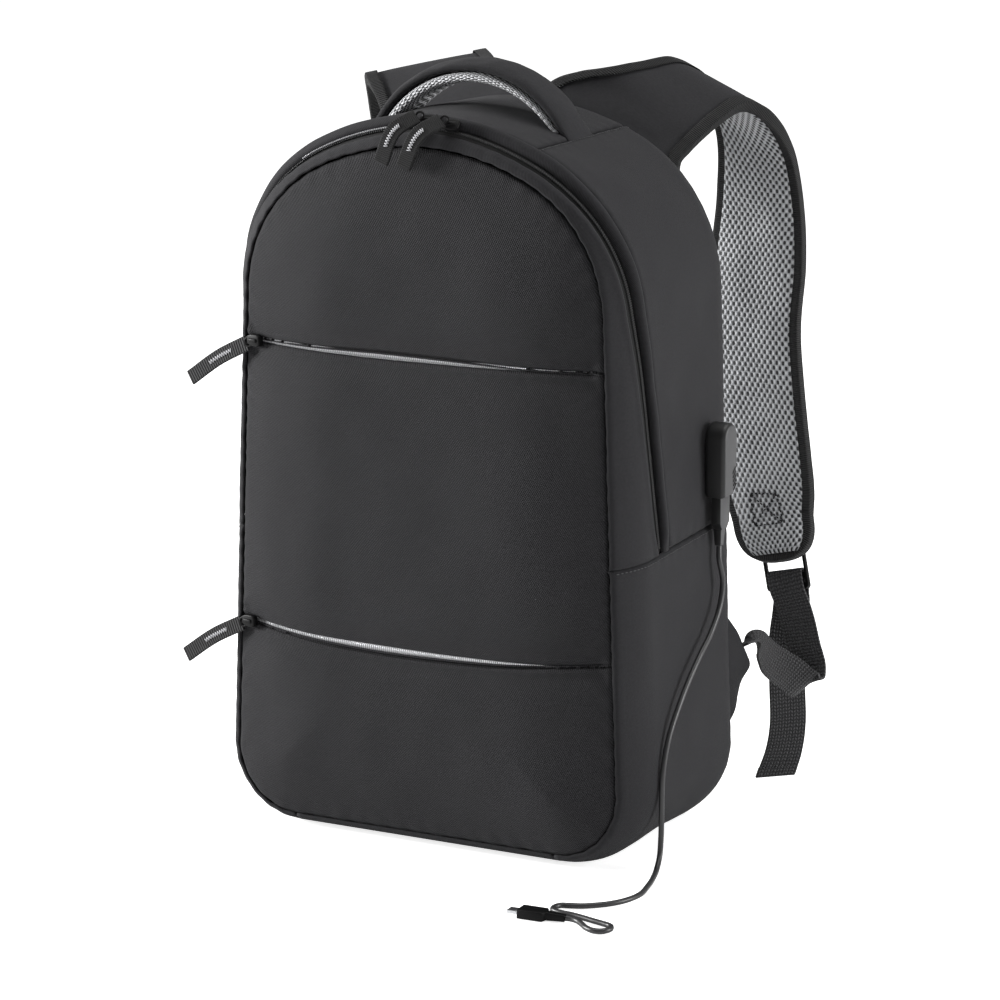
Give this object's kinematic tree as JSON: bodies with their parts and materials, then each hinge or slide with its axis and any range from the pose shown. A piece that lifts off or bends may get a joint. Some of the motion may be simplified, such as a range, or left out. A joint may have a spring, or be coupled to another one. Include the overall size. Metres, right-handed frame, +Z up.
{
  "type": "laptop backpack",
  "caption": "Laptop backpack in charcoal cloth with zipped front pockets, padded mesh-lined shoulder straps, a padded top handle and a side charging port with its lead.",
  "frame": {"origin": "middle of the base, at the height where the bag stands on a floor", "axes": "X across the bag, -Y out of its front, +Z up towards the handle"},
  "size_m": [0.354, 0.3785, 0.4909],
  "materials": {
    "bag_cloth": "matt charcoal fine twill",
    "dark_cloth": "matt near-black twill",
    "webbing_tape": "matt black ribbed tape and webbing",
    "zip_coil": "silver-grey nylon coil on black tape",
    "spacer_mesh": "silver-grey open spacer mesh",
    "hard_plastic": "black moulded plastic, satin to glossy",
    "grey_rubber": "dark grey moulded rubber",
    "steel": "bright plug shell"
  },
  "bodies": {
    "root": {"front_panel_upper": "bag_cloth", "front_panel_middle": "bag_cloth", "front_panel_lower": "bag_cloth", "pocket_zip_upper": "zip_coil", "pocket_zip_lower": "zip_coil", "front_band": "dark_cloth", "main_zip": "zip_coil", "zip_flap": "dark_cloth", "top_panel": "dark_cloth", "side_panel_left": "dark_cloth", "lower_side_left": "dark_cloth", "side_panel_right": "dark_cloth", "lower_side_right": "dark_cloth", "base_panel": "dark_cloth", "back_panel": "dark_cloth", "back_pad": "spacer_mesh", "handle": "dark_cloth", "handle_lining": "spacer_mesh", "strap_left": "dark_cloth", "strap_lining_left": "spacer_mesh", "strap_right": "dark_cloth", "strap_lining_right": "spacer_mesh", "ladder_lock_left": "hard_plastic", "lock_loop_left": "webbing_tape", "wing_tab_left": "dark_cloth", "webbing_left": "webbing_tape", "ladder_lock_right": "hard_plastic", "lock_loop_right": "webbing_tape", "wing_tab_right": "dark_cloth", "webbing_right": "webbing_tape", "pocket_slider_upper": "hard_plastic", "pocket_pull_upper": "webbing_tape", "pocket_slider_lower": "hard_plastic", "pocket_pull_lower": "webbing_tape", "top_slider_a": "hard_plastic", "top_pull_a": "webbing_tape", "top_slider_b": "hard_plastic", "top_pull_b": "webbing_tape", "charging_port": "grey_rubber", "port_plug": "hard_plastic", "lead": "grey_rubber", "lead_plug": "hard_plastic", "lead_tip": "steel"}
  },
  "joints": []
}
